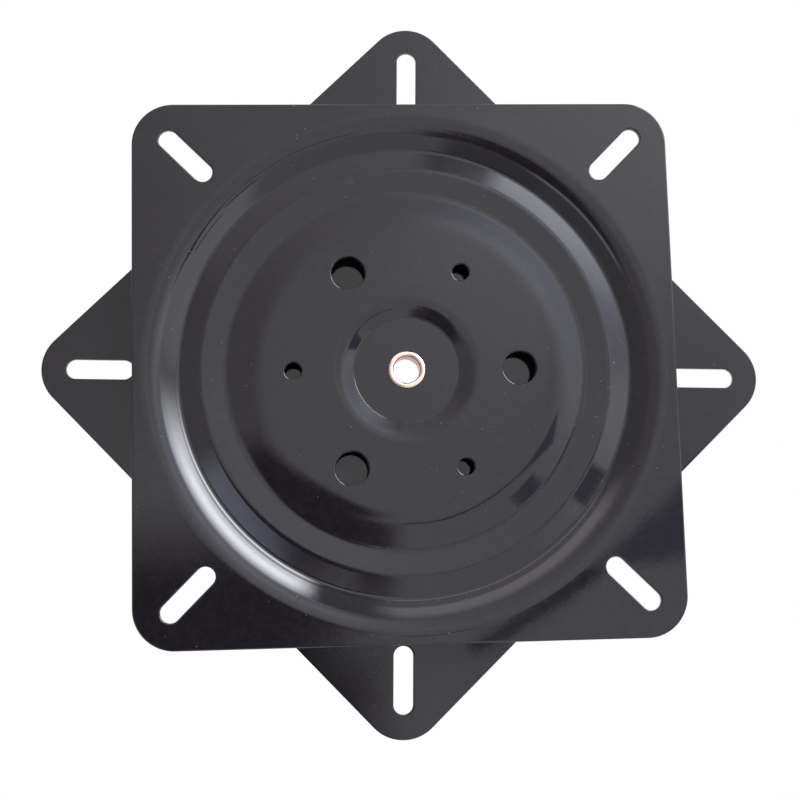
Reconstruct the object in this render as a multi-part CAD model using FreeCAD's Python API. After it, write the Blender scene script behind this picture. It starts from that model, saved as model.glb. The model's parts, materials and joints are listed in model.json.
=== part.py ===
import FreeCAD, Part
import math
import os
from FreeCAD import Placement, Rotation, Vector

# Square swivel plate bearing for a seat or a turntable: two equal pressed steel plates, one turned
# over below the other, with a ring of caged balls between their tracks and a hollow rivet that
# holds them together in the middle.
# Lengths are millimetres and angles degrees. The frame's origin is the centre of the lower plate's
# resting face, +Z is the swivel axis, and +X and +Y run along the lower plate's diagonals.

# Plates
PLATE_SIDE = 250.0
CORNER_RADIUS = 19.0
SHEET = 2.5
OVERALL_HEIGHT = 22.0
EDGE_ROUND = 0.6
LOWER_TURN = 45.0
UPPER_TURN = 1.7

# Corner slots, along the diagonals
SLOT_LENGTH = 31.0
SLOT_WIDTH = 9.0
SLOT_MARGIN = 11.4
SLOT_LAND = 4.0

# Pressed dish: the rim left flat beside it, then from the rim inwards
RIM_MARGIN = 3.35
WALL_ANGLE = 45.0
WALL_LAND = 0.2
GROOVE_GAP = 2.1
FLANK_RUN = 10.7
BAND_RUN = 11.7
BAND_ANGLE = 6.0
STEP_RUN = 12.5
STEP_RISE = 2.2

# Centre recess, with a coined floor for the rivet's head
RECESS_FLOOR_RADIUS = 25.0
RECESS_RUN = 6.3
RECESS_DEPTH = 1.8
COIN_MARGIN = 0.25
COIN_DEPTH = 0.35

# Inside bend radii of the sheet
GROOVE_BEND = 2.7
TRACK_BEND = 2.0
VALLEY_BEND = 1.2
SHOULDER_BEND = 8.0
RECESS_EDGE_BEND = 13.0
RECESS_FLOOR_BEND = 0.8

# Round holes in the dish, large and small in turn, a little outside its flat's middle
HOLE_OFFSET = 0.9
LARGE_HOLE_RADIUS = 7.75
SMALL_HOLE_RADIUS = 3.9
HOLES_OF_EACH_SIZE = 3

# Balls and their cage
BALL_RADIUS = 3.175
BALL_COUNT = 24
BALL_CLEARANCE = 0.1
POCKET_CLEARANCE = 0.2
POCKET_WALL = 1.3
POCKET_HEIGHT = 3.4
CAGE_WEB_WIDTH = 5.0
CAGE_WEB_THICKNESS = 2.0

# Hollow rivet with curled ends, and the spacer washer between the recess floors
RIVET_BORE_RADIUS = 6.2
RIVET_WALL = 1.0
RIVET_CURL_INSIDE = 0.25
RIVET_RUNNING_CLEARANCE = 0.05
HEAD_CLEARANCE = 0.1
SPACER_RADIUS = 16.0
SPACER_CLEARANCE = 0.1
SPACER_ROUND = 0.3

AXIS = Vector(0, 0, 1)
ORIGIN = Vector(0, 0, 0)
MID_HEIGHT = OVERALL_HEIGHT / 2
SHANK_RADIUS = RIVET_BORE_RADIUS + RIVET_WALL

# The ball track's faces lie at this distance from the ball's centre, measured to the outer face.
TRACK_REACH = BALL_RADIUS + BALL_CLEARANCE + SHEET
GROOVE_HEIGHT = GROOVE_GAP / 2 + SHEET
# The flank is the line from the groove's bottom that touches a circle of that reach.
FLANK_SLOPE = math.asin(TRACK_REACH / math.hypot(FLANK_RUN, GROOVE_HEIGHT)) - math.atan2(
    GROOVE_HEIGHT, FLANK_RUN
)

# The wall rises from the groove to the flange, and the flange's bend takes all the groove's leaves.
WALL_SLOPE = math.radians(WALL_ANGLE)
WALL_RISE = MID_HEIGHT - GROOVE_HEIGHT
WALL_RUN = WALL_RISE / math.tan(WALL_SLOPE)
GROOVE_TANGENT = GROOVE_BEND * math.tan((FLANK_SLOPE + WALL_SLOPE) / 2)
FLANGE_TANGENT = WALL_RISE / math.sin(WALL_SLOPE) - GROOVE_TANGENT - WALL_LAND
FLANGE_BEND = FLANGE_TANGENT / math.tan(WALL_SLOPE / 2) - SHEET

# Where the turned dish ends and the flat square flange takes over, just past the bend
JOIN_RADIUS = PLATE_SIDE / 2 - RIM_MARGIN
BALL_CIRCLE_RADIUS = JOIN_RADIUS - EDGE_ROUND / 2 - FLANGE_TANGENT - WALL_RUN - FLANK_RUN


def dish_corners():
    """Corners of the dish's outer face as (radius, height over the middle plane), with bends."""
    band = math.radians(BAND_ANGLE)
    ridge_out = TRACK_REACH * (math.cos(band) - math.cos(FLANK_SLOPE)) / math.sin(band + FLANK_SLOPE)
    ridge_height = (TRACK_REACH + math.sin(band) * ridge_out) / math.cos(band)
    ridge_radius = BALL_CIRCLE_RADIUS + ridge_out
    valley_radius = ridge_radius - BAND_RUN
    valley_height = ridge_height - BAND_RUN * math.tan(band)
    plateau_height = valley_height + STEP_RISE
    groove_radius = BALL_CIRCLE_RADIUS + FLANK_RUN
    return [
        (RECESS_FLOOR_RADIUS, plateau_height - RECESS_DEPTH, RECESS_FLOOR_BEND),
        (RECESS_FLOOR_RADIUS + RECESS_RUN, plateau_height, RECESS_EDGE_BEND),
        (valley_radius - STEP_RUN, plateau_height, SHOULDER_BEND),
        (valley_radius, valley_height, VALLEY_BEND),
        (ridge_radius, ridge_height, TRACK_BEND),
        (groove_radius, GROOVE_HEIGHT, GROOVE_BEND),
        (groove_radius + WALL_RUN, MID_HEIGHT, FLANGE_BEND),
    ]


def floor_height():
    """The recess floor's outer face over the middle plane, before it is coined."""
    return dish_corners()[0][1]


def head_seat():
    """The coined floor's face over the middle plane, where a rivet head lies."""
    return floor_height() - COIN_DEPTH


def spacer_thickness():
    """What fits between the two recess floors with the running clearance."""
    return 2 * (floor_height() - SHEET) - SPACER_CLEARANCE


def round_holes():
    """The holes' circle, and the large and small radius that the dish's flat has room for."""
    inner = dish_corners()[1]
    outer = dish_corners()[2]
    recess_slope = math.atan2(RECESS_DEPTH, RECESS_RUN)
    step_slope = math.atan2(STEP_RISE, STEP_RUN)
    flat_from = inner[0] + (RECESS_EDGE_BEND + SHEET) * math.tan(recess_slope / 2)
    flat_to = outer[0] - (SHOULDER_BEND + SHEET) * math.tan(step_slope / 2)
    room = (flat_to - flat_from) / 2 - 2 * EDGE_ROUND
    large = min(LARGE_HOLE_RADIUS, room)
    circle = (flat_from + flat_to) / 2 + min(HOLE_OFFSET, room - large)
    return circle, large, min(SMALL_HOLE_RADIUS, room)


def offset_corners(points, distance):
    """The same corners after each straight stretch moves down by distance, square to itself."""
    moved = []
    for (r0, h0), (r1, h1) in zip(points, points[1:]):
        length = math.hypot(r1 - r0, h1 - h0)
        shift_r = (h1 - h0) / length * distance
        shift_h = -(r1 - r0) / length * distance
        moved.append((r0 + shift_r, h0 + shift_h, (r1 - r0) / length, (h1 - h0) / length))
    corners = [moved[0][:2]]
    for (ra, ha, ua, va), (rb, hb, ub, vb) in zip(moved, moved[1:]):
        along = ((rb - ra) * vb - (hb - ha) * ub) / (ua * vb - va * ub)
        corners.append((ra + ua * along, ha + va * along))
    corners.append((points[-1][0], points[-1][1] - distance))
    return corners


def rounded_edges(points, radii):
    """Straight edges through the points, with a tangent arc of the given radius at each bend."""
    edges = []
    start = Vector(points[0][0], 0, points[0][1])
    for before, here, after, radius in zip(points, points[1:], points[2:], radii):
        corner = Vector(here[0], 0, here[1])
        to_before = (Vector(before[0], 0, before[1]) - corner).normalize()
        to_after = (Vector(after[0], 0, after[1]) - corner).normalize()
        half_turn = (math.pi - to_before.getAngle(to_after)) / 2
        tangent = radius * math.tan(half_turn)
        arc_start = corner + to_before * tangent
        arc_end = corner + to_after * tangent
        inwards = (to_before + to_after).normalize()
        middle = corner + inwards * (radius / math.cos(half_turn) - radius)
        edges.append(Part.LineSegment(start, arc_start).toShape())
        edges.append(Part.Arc(arc_start, middle, arc_end).toShape())
        start = arc_end
    edges.append(Part.LineSegment(start, Vector(points[-1][0], 0, points[-1][1])).toShape())
    return edges


def turn_is_left(before, here, after):
    """True where the profile bends upwards on its way outwards, as in a valley."""
    first = (here[0] - before[0], here[1] - before[1])
    second = (after[0] - here[0], after[1] - here[1])
    return first[0] * second[1] - first[1] * second[0] > 0


def dish():
    """The round pressed part of a plate, from the rivet hole to the flange, as a turned sheet."""
    corners = dish_corners()
    outer = [(SHANK_RADIUS, floor_height())] + [c[:2] for c in corners]
    outer.append((JOIN_RADIUS, MID_HEIGHT))
    inner = offset_corners(outer, SHEET)
    outer_radii = []
    inner_radii = []
    for before, here, after, corner in zip(outer, outer[1:], outer[2:], corners):
        valley = turn_is_left(before, here, after)
        outer_radii.append(corner[2] if valley else corner[2] + SHEET)
        inner_radii.append(corner[2] + SHEET if valley else corner[2])
    edges = rounded_edges(outer, outer_radii) + rounded_edges(inner, inner_radii)
    for first, second in ((outer[0], inner[0]), (outer[-1], inner[-1])):
        edges.append(
            Part.LineSegment(Vector(first[0], 0, first[1]), Vector(second[0], 0, second[1])).toShape()
        )
    section = Part.Face(Part.Wire(Part.__sortEdges__(edges)))
    sheet = section.revolve(ORIGIN, AXIS, 360)
    coin_radius = RECESS_FLOOR_RADIUS - COIN_MARGIN
    die = Part.makeCone(
        coin_radius - COIN_DEPTH, coin_radius + COIN_DEPTH, 2 * COIN_DEPTH, Vector(0, 0, head_seat())
    )
    return sheet.cut(die)


def slot_cutter():
    """One corner slot, on the +X side, through the whole height."""
    corner_tip = (PLATE_SIDE / 2 - CORNER_RADIUS) * math.sqrt(2) + CORNER_RADIUS
    length = min(SLOT_LENGTH, corner_tip - SLOT_MARGIN - JOIN_RADIUS - SLOT_LAND)
    outer_end = corner_tip - SLOT_MARGIN - SLOT_WIDTH / 2
    inner_end = outer_end - (length - SLOT_WIDTH)
    bottom = Vector(0, 0, -MID_HEIGHT)
    block = Part.makeBox(
        outer_end - inner_end,
        SLOT_WIDTH,
        OVERALL_HEIGHT * 2,
        bottom + Vector(inner_end, -SLOT_WIDTH / 2, 0),
    )
    for end in (inner_end, outer_end):
        round_end = Part.makeCylinder(SLOT_WIDTH / 2, OVERALL_HEIGHT * 2, bottom + Vector(end, 0, 0))
        block = block.fuse(round_end)
    return block.removeSplitter()


def flange():
    """The flat square rim with round corners and four slots, open where the dish goes."""
    half = PLATE_SIDE / 2
    base = MID_HEIGHT - SHEET
    square = Part.makeBox(PLATE_SIDE, PLATE_SIDE, SHEET, Vector(-half, -half, base))
    uprights = [e for e in square.Edges if abs(e.Vertexes[0].Z - e.Vertexes[-1].Z) > SHEET / 2]
    square = square.makeFillet(CORNER_RADIUS, uprights)
    square = square.cut(Part.makeCylinder(JOIN_RADIUS, SHEET, Vector(0, 0, base)))
    cutter = slot_cutter()
    for corner in range(4):
        slot = cutter.copy()
        slot.rotate(ORIGIN, AXIS, 45 + 90 * corner)
        square = square.cut(slot)
    return square


def drill_round_holes(plate):
    """The ring of large and small round holes, in turn, in the flat part of the dish."""
    circle, large, small = round_holes()
    step = 360.0 / (2 * HOLES_OF_EACH_SIZE)
    for index in range(2 * HOLES_OF_EACH_SIZE):
        radius = large if index % 2 == 0 else small
        angle = math.radians(step * index)
        place = Vector(circle * math.cos(angle), circle * math.sin(angle), 0)
        plate = plate.cut(Part.makeCylinder(radius, MID_HEIGHT, place))
    return plate


def sheared_edges(plate):
    """The punched edges on the outer face: the outline, the slots and the round holes."""
    plateau = dish_corners()[1][1]
    found = []
    for edge in plate.Edges:
        box = edge.BoundBox
        flat = box.ZLength < SHEET / 10
        at_flange = flat and abs(box.ZMax - MID_HEIGHT) < SHEET / 10
        at_plateau = flat and abs(box.ZMax - plateau) < SHEET / 10
        round_the_axis = box.Center.sub(Vector(0, 0, box.Center.z)).Length < EDGE_ROUND
        if (at_flange or at_plateau) and not round_the_axis:
            found.append(edge)
    return found


def pressed_plate():
    """One plate about the middle plane, with its flange on top and its sides along X and Y."""
    plate = dish().fuse(flange()).removeSplitter()
    plate = drill_round_holes(plate)
    return plate.makeFillet(EDGE_ROUND, sheared_edges(plate))


def upper_plate(plate):
    """The plate that carries the seat."""
    placed = plate.copy()
    placed.Placement = Placement(Vector(0, 0, MID_HEIGHT), Rotation(AXIS, UPPER_TURN))
    return placed


def lower_plate(plate):
    """The same pressing, turned over, with its diagonals along X and Y."""
    placed = plate.copy()
    turned_over = Rotation(AXIS, LOWER_TURN) * Rotation(Vector(1, 0, 0), 180)
    placed.Placement = Placement(Vector(0, 0, MID_HEIGHT), turned_over)
    return placed


def ball_places():
    """The centre of each ball in the middle plane."""
    places = []
    for index in range(BALL_COUNT):
        angle = 2 * math.pi * index / BALL_COUNT
        x = BALL_CIRCLE_RADIUS * math.cos(angle)
        y = BALL_CIRCLE_RADIUS * math.sin(angle)
        places.append(Vector(x, y, MID_HEIGHT))
    return places


def ball(place):
    """One steel ball."""
    return Part.makeSphere(BALL_RADIUS, place)


def ball_cage():
    """A flat moulded ring with a round cup at each ball, which its lips hold captive."""
    pocket_radius = BALL_RADIUS + POCKET_CLEARANCE
    cup_radius = pocket_radius + POCKET_WALL
    base = Vector(0, 0, MID_HEIGHT - CAGE_WEB_THICKNESS / 2)
    outer = Part.makeCylinder(BALL_CIRCLE_RADIUS + CAGE_WEB_WIDTH / 2, CAGE_WEB_THICKNESS, base)
    inner = Part.makeCylinder(BALL_CIRCLE_RADIUS - CAGE_WEB_WIDTH / 2, CAGE_WEB_THICKNESS, base)
    cups = []
    pockets = []
    for place in ball_places():
        cups.append(Part.makeCylinder(cup_radius, POCKET_HEIGHT, place - Vector(0, 0, POCKET_HEIGHT / 2)))
        pockets.append(Part.makeSphere(pocket_radius, place))
    return outer.cut(inner).fuse(cups).cut(pockets)


def circles_at(solid, radius, height):
    """The round edges of a turned solid with this radius at this height."""
    found = []
    for edge in solid.Edges:
        box = edge.BoundBox
        level = box.ZLength < RIVET_RUNNING_CLEARANCE and abs(box.ZMax - height) < RIVET_RUNNING_CLEARANCE
        if level and abs(box.XMax - radius) < RIVET_RUNNING_CLEARANCE:
            found.append(edge)
    return found


def pivot_rivet():
    """Hollow rivet, a tube whose ends curl over the recess floors, tight in the lower plate."""
    low = MID_HEIGHT - head_seat()
    high = MID_HEIGHT + head_seat() + HEAD_CLEARANCE
    curl = SHANK_RADIUS + RIVET_CURL_INSIDE
    reach = RIVET_CURL_INSIDE + RIVET_WALL

    def half_round(radius, height, side):
        ends = (Vector(curl - radius, 0, height), Vector(curl + radius, 0, height))
        return Part.Arc(ends[0], Vector(curl, 0, height + side * radius), ends[1]).toShape()

    edges = [
        Part.LineSegment(Vector(RIVET_BORE_RADIUS, 0, low), Vector(RIVET_BORE_RADIUS, 0, high)).toShape(),
        Part.LineSegment(Vector(SHANK_RADIUS, 0, low), Vector(SHANK_RADIUS, 0, high)).toShape(),
    ]
    for height, side in ((low, -1), (high, 1)):
        edges.append(half_round(reach, height, side))
        edges.append(half_round(RIVET_CURL_INSIDE, height, side))
        lip = (Vector(curl + RIVET_CURL_INSIDE, 0, height), Vector(curl + reach, 0, height))
        edges.append(Part.LineSegment(*lip).toShape())
    section = Part.Face(Part.Wire(Part.__sortEdges__(edges)))
    return section.revolve(ORIGIN, AXIS, 360)


def spacer_washer():
    """Washer on the lower plate's recess floor, which keeps the two floors apart."""
    base = MID_HEIGHT - floor_height() + SHEET
    top = base + spacer_thickness()
    washer = Part.makeCylinder(SPACER_RADIUS, top - base, Vector(0, 0, base))
    eye_radius = SHANK_RADIUS + RIVET_RUNNING_CLEARANCE
    washer = washer.cut(Part.makeCylinder(eye_radius, top - base, Vector(0, 0, base)))
    rims = circles_at(washer, SPACER_RADIUS, base) + circles_at(washer, SPACER_RADIUS, top)
    return washer.makeFillet(SPACER_ROUND, rims)


def main():
    """Builds each piece and writes it as parts/NAME.step."""
    os.makedirs("parts", exist_ok=True)
    plate = pressed_plate()
    running_eye = Part.makeCylinder(SHANK_RADIUS + RIVET_RUNNING_CLEARANCE, OVERALL_HEIGHT)
    pieces = {
        "upper_plate": upper_plate(plate).cut(running_eye),
        "lower_plate": lower_plate(plate),
        "ball_cage": ball_cage(),
        "pivot_rivet": pivot_rivet(),
        "spacer_washer": spacer_washer(),
    }
    for index, place in enumerate(ball_places(), 1):
        pieces["ball_%02d" % index] = ball(place)
    for name, solid in pieces.items():
        solid.exportStep("parts/%s.step" % name)
        print(name, "solids", len(solid.Solids), "valid", solid.isValid(), "mm3 %.1f" % solid.Volume)


main()
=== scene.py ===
"""Square lazy susan bearing, seen from above at a slight slant on a pale floor.

Two pressed steel plates in glossy black paint lie on each other, the lower one turned over. Caged
balls run between their tracks, and a hollow copper rivet holds them together in the middle.
"""

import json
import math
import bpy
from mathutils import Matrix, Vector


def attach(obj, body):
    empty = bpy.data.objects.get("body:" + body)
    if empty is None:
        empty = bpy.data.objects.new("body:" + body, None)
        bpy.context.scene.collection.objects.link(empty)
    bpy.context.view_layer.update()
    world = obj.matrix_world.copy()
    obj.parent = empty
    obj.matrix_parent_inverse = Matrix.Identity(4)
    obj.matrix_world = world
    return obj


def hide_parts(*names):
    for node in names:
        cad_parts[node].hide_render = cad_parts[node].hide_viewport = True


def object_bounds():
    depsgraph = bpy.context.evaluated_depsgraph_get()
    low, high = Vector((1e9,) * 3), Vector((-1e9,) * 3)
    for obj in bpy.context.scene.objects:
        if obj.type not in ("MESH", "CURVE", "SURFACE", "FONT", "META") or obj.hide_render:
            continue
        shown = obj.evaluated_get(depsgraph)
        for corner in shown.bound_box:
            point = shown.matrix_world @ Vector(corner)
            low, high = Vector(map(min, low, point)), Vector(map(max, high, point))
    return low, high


bl_info = {
    "name": "Lazy Susan Bearing",
    "version": (1, 0, 0),
    "blender": (4, 5, 0),
    "location": "View3D > Sidebar > Swivel",
    "description": "Builds the pressed plates, the hollow rivet, the ball race and a studio stage",
    "category": "Add Mesh",
}

import bmesh
import bpy
from bpy.props import FloatProperty, FloatVectorProperty, PointerProperty
from mathutils import Matrix, Vector

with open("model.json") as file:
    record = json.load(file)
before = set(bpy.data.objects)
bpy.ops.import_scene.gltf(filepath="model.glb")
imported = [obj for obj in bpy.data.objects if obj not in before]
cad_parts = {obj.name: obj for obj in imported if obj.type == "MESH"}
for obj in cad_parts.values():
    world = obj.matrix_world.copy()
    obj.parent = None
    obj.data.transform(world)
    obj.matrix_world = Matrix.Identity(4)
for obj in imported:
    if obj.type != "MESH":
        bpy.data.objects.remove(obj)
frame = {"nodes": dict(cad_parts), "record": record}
CAD_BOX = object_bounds()
MOUNTS = {mount["name"]: mount for mount in frame["record"]["mounts"]}
BORE_RADIUS = MOUNTS["centre_bore"]["dims"]["r_mm"] / 1000
BALL_NODES = sorted(
    name for name in frame["nodes"] if name.startswith("ball_") and name != "ball_cage"
)
MIDDLE = CAD_BOX[1][2] / 2

# How finely round forms are drawn
ARC_STEP = math.radians(3.0)
SHORTEST_EDGE = 0.00006
DISH_SEGMENTS = 288
CORNER_SEGMENTS = 24
SLOT_END_SEGMENTS = 14
LARGE_HOLE_SEGMENTS = 64
SMALL_HOLE_SEGMENTS = 48
RIVET_SEGMENTS = 96

# How closely two lengths agree: points that are merged, and edges found by their place
LINE_UP = 1e-5
LOOSE = 5e-5

# Bends too small to change: the foot and the edge of the coined floor
COIN_FOOT_BEND = 0.00012
COIN_EDGE_BEND = 0.0001


def near(value, target=0.0):
    """Whether a length is what it should be, for finding an edge by its place."""
    return abs(value - target) < LOOSE


def length(name, description, default):
    """A size that a user may change, in metres."""
    return FloatProperty(
        name=name, description=description, default=default, min=0.0, unit="LENGTH", precision=5
    )


def turn(name, description, degrees):
    """An angle that a user may change."""
    return FloatProperty(
        name=name, description=description, default=math.radians(degrees), unit="ROTATION"
    )


def colour(name, description, default):
    """A linear colour that a user may change."""
    limits = {"size": 3, "min": 0.0, "max": 1.0}
    return FloatVectorProperty(
        name=name, description=description, default=default, subtype="COLOR", **limits
    )


class PlateSizes(bpy.types.PropertyGroup):
    """Sizes of one pressed plate."""

    side: length("Side", "Width of the square plate", 0.250)
    corner: length("Corner", "Radius of the plate's corners", 0.019)
    sheet: length("Sheet", "Thickness of the steel", 0.0025)
    edge_round: length("Edge round", "Roll-over of the punched edges", 0.0006)
    burr_round: length("Inner edge", "Break of the punched edges on the inner face", 0.00015)
    slot_length: length("Slot length", "Length of a corner slot, end to end", 0.031)
    slot_width: length("Slot width", "Width of a corner slot", 0.009)
    slot_margin: length("Slot margin", "From a corner's tip to its slot", 0.0114)
    rim_margin: length("Rim margin", "Flat rim between the dish and the plate's side", 0.00335)
    wall_turn: turn("Wall", "Slope of the outer wall at the ball groove", 45.0)
    wall_land: length("Wall land", "Straight part of the outer wall", 0.0002)
    groove_gap: length("Groove gap", "Between the two plates at the groove's bottom", 0.0021)
    flank_run: length("Flank", "From the ball circle to the groove's bottom", 0.0107)
    band_run: length("Band", "Width of the band inside the ball track", 0.0117)
    band_turn: turn("Band slope", "Slope of the band inside the ball track", 6.0)
    step_run: length("Step", "Width of the step up to the flat", 0.0125)
    step_rise: length("Step rise", "Height of the step up to the flat", 0.0022)
    recess_radius: length("Recess floor", "Radius of the centre recess's floor", 0.025)
    recess_run: length("Recess wall", "Width of the centre recess's wall", 0.0063)
    recess_depth: length("Recess depth", "Depth of the centre recess", 0.0018)
    coin_margin: length("Coined edge", "From the coined floor to the recess wall", 0.00025)
    coin_depth: length("Coined depth", "Depth of the coined floor", 0.00035)
    groove_bend: length("Groove bend", "Bend radius at the groove", 0.0027)
    track_bend: length("Track bend", "Bend radius on top of the ball track", 0.0055)
    valley_bend: length("Valley bend", "Bend radius at the step's foot", 0.0135)
    shoulder_bend: length("Shoulder bend", "Bend radius at the step's top", 0.060)
    recess_edge_bend: length("Recess edge", "Bend radius at the recess's edge", 0.0195)
    recess_foot_bend: length("Recess foot", "Bend radius at the recess's floor", 0.0002)
    hole_offset: length("Hole offset", "From the flat's middle out to the holes' circle", 0.0015265)
    large_hole: length("Large hole", "Radius of the three large holes", 0.00775)
    small_hole: length("Small hole", "Radius of the three small holes", 0.0039)
    ball: length("Ball", "Radius of the balls that the track fits", 0.003175)
    ball_play: length("Ball play", "Clearance of the balls in the track", 0.0001)
    upper_turn: turn("Upper plate", "Turn of the upper plate", 1.7)
    lower_turn: turn("Lower plate", "Turn of the lower plate", 45.0)


class RivetSizes(bpy.types.PropertyGroup):
    """Sizes of the hollow rivet."""

    bore: length("Bore", "Radius of the hole through the rivet", BORE_RADIUS)
    wall: length("Wall", "Thickness of the rivet's tube", 0.001)
    curl_inside: length("Curl", "Inside radius of the rolled ends", 0.00025)
    play: length("Play", "Gap under the upper rolled end", 0.0001)


class Finishes(bpy.types.PropertyGroup):
    """Colours of the finishes."""

    paint: colour("Paint", "Black stove enamel on the plates", (0.0090, 0.0074, 0.0105))
    dust: colour("Dust", "Dust specks on the paint", (0.22, 0.20, 0.19))
    copper: colour("Copper", "Copper wash on the rivet's rubbed ends", (0.93, 0.70, 0.60))
    # Darker copper: tarnish where it falls in patches, and painted shade on the wall of the rivet's
    # bore
    tarnish_and_bore_shade: colour("Tarnish", "Dull copper inside the rivet", (0.34, 0.15, 0.09))
    steel: colour("Steel", "Ground steel of the balls", (0.72, 0.72, 0.73))
    nylon: colour("Nylon", "Moulded nylon of cage and washer", (0.70, 0.68, 0.61))
    grease: colour("Grease", "Grease on the cage and in the tracks", (0.42, 0.30, 0.12))


# Work in edit mode


def put_down():
    """Leaves edit mode and deselects everything."""
    if bpy.context.object and bpy.context.object.mode != "OBJECT":
        bpy.ops.object.mode_set(mode="OBJECT")
    bpy.ops.object.select_all(action="DESELECT")


def pick_up(piece):
    """Makes a piece the only selected and active one."""
    put_down()
    piece.select_set(True)
    bpy.context.view_layer.objects.active = piece


def select(piece, kind, wanted):
    """Selects, in edit mode, just the points, edges or faces that a test accepts."""
    bpy.ops.mesh.select_mode(type=kind)
    bpy.ops.mesh.select_all(action="DESELECT")
    work = bmesh.from_edit_mesh(piece.data)
    for part in {"VERT": work.verts, "EDGE": work.edges, "FACE": work.faces}[kind]:
        if wanted(part):
            part.select_set(True)
    work.select_flush_mode()
    bmesh.update_edit_mesh(piece.data)


def turned_sheet(name, profile, segments, closed=False):
    """A round sheet drawn ring by ring from its first ring, and left in edit mode."""
    put_down()
    radius, height = profile[0]
    bpy.ops.mesh.primitive_circle_add(
        vertices=segments, radius=radius, fill_type="NOTHING", location=(0, 0, height)
    )
    piece = bpy.context.object
    piece.name = name
    piece.data.name = name
    bpy.ops.object.transform_apply(location=True, rotation=True, scale=True)
    bpy.ops.object.mode_set(mode="EDIT")
    bpy.ops.mesh.select_mode(type="EDGE")
    bpy.ops.mesh.select_all(action="SELECT")
    for new_radius, new_height in profile[1:] + (profile[:1] if closed else []):
        bpy.ops.mesh.extrude_edges_move(
            TRANSFORM_OT_translate={"value": (0, 0, new_height - height)}
        )
        grow = new_radius / radius
        bpy.ops.transform.resize(value=(grow, grow, 1), center_override=(0, 0, 0))
        radius, height = new_radius, new_height
    if closed:
        bpy.ops.mesh.select_all(action="SELECT")
        bpy.ops.mesh.remove_doubles(threshold=LINE_UP)
    return piece


def bend_points(corners, bends):
    """Points along straight runs with a round bend at each inner corner."""
    points = [corners[0]]
    for before, here, after, radius in zip(corners, corners[1:], corners[2:], bends):
        back = (Vector(before) - Vector(here)).normalized()
        ahead = (Vector(after) - Vector(here)).normalized()
        angle = math.pi - back.angle(ahead)
        tangent = radius * math.tan(angle / 2)
        centre = Vector(here) + (back + ahead).normalized() * (radius / math.cos(angle / 2))
        start = Vector(here) + back * tangent - centre
        left = start.cross(Vector(here) + ahead * tangent - centre) > 0
        steps = max(2, min(math.ceil(angle / ARC_STEP), round(angle * radius / SHORTEST_EDGE)))
        for step in range(steps + 1):
            turned = angle * step / steps * (1 if left else -1)
            spin = Matrix.Rotation(turned, 2)
            points.append(tuple(centre + spin @ start))
    points.append(corners[-1])
    return points


# Pressed plates


class PlateForm:
    """The heights and radii of the pressed plate's outer face, worked out from its sizes."""

    def __init__(self, sizes):
        s = sizes
        eye = rivet_sizes().bore + rivet_sizes().wall

        # Flank, outer wall and flange; the flank clears the ball by the sheet and the play
        to_ball = s.ball + s.ball_play + s.sheet
        groove_height = s.groove_gap / 2 + s.sheet
        flank = math.asin(to_ball / math.hypot(s.flank_run, groove_height)) - math.atan2(
            groove_height, s.flank_run
        )
        rise = MIDDLE - groove_height
        wall_run = rise / math.tan(s.wall_turn)
        groove_tangent = s.groove_bend * math.tan((flank + s.wall_turn) / 2)
        flange_tangent = rise / math.sin(s.wall_turn) - groove_tangent - s.wall_land
        self.join = s.side / 2 - s.rim_margin
        wall_foot = self.join - s.edge_round / 2 - flange_tangent - wall_run
        self.ball_circle = wall_foot - s.flank_run
        groove = self.ball_circle + s.flank_run

        # Track and band; the band clears the ball by as much on its other side
        band = s.band_turn
        ridge_out = to_ball * (math.cos(band) - math.cos(flank)) / math.sin(band + flank)
        ridge_height = (to_ball + math.sin(band) * ridge_out) / math.cos(band)
        ridge = self.ball_circle + ridge_out
        valley = ridge - s.band_run
        valley_height = ridge_height - s.band_run * math.tan(band)

        # Step, flat and recess
        self.flat = valley_height + s.step_rise
        self.floor = self.flat - s.recess_depth
        self.seat = self.floor - s.coin_depth
        self.coin = s.recess_radius - s.coin_margin
        shoulder = valley - s.step_run
        recess_edge = s.recess_radius + s.recess_run
        step_slope = math.atan2(s.step_rise, s.step_run)
        recess_slope = math.atan2(s.recess_depth, s.recess_run)
        self.flat_from = recess_edge + (s.recess_edge_bend + s.sheet) * math.tan(recess_slope / 2)
        self.flat_to = shoulder - (s.shoulder_bend + s.sheet) * math.tan(step_slope / 2)
        self.hole_circle = (recess_edge + shoulder) / 2 + s.hole_offset

        # Corner slots, along the diagonals
        tip = (s.side / 2 - s.corner) * math.sqrt(2) + s.corner
        self.slot_centre = tip - s.slot_margin - s.slot_length / 2

        self.corners = [
            (eye, self.seat),
            (self.coin - s.coin_depth, self.seat),
            (self.coin, self.floor),
            (s.recess_radius, self.floor),
            (recess_edge, self.flat),
            (shoulder, self.flat),
            (valley, valley_height),
            (ridge, ridge_height),
            (groove, groove_height),
            (groove + wall_run, MIDDLE),
            (self.join, MIDDLE),
        ]
        self.bends = [
            COIN_FOOT_BEND,
            COIN_EDGE_BEND,
            s.recess_foot_bend,
            s.recess_edge_bend + s.sheet,
            s.shoulder_bend + s.sheet,
            s.valley_bend,
            s.track_bend + s.sheet,
            s.groove_bend,
            flange_tangent / math.tan(s.wall_turn / 2),
        ]


def plate_sizes():
    """The plates' sizes as they are set in the scene."""
    return bpy.context.scene.swivel_plate


def rivet_sizes():
    """The rivet's sizes as they are set in the scene."""
    return bpy.context.scene.swivel_rivet


def finishes():
    """The finishes' colours as they are set in the scene."""
    return bpy.context.scene.swivel_finishes


def to_square(x, y, half, corner):
    """How far a point lies outside a square with round corners."""
    across = max(abs(x) - half + corner, 0.0)
    along = max(abs(y) - half + corner, 0.0)
    if across and along:
        return math.hypot(across, along) - corner
    return max(abs(x), abs(y)) - half


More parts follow.
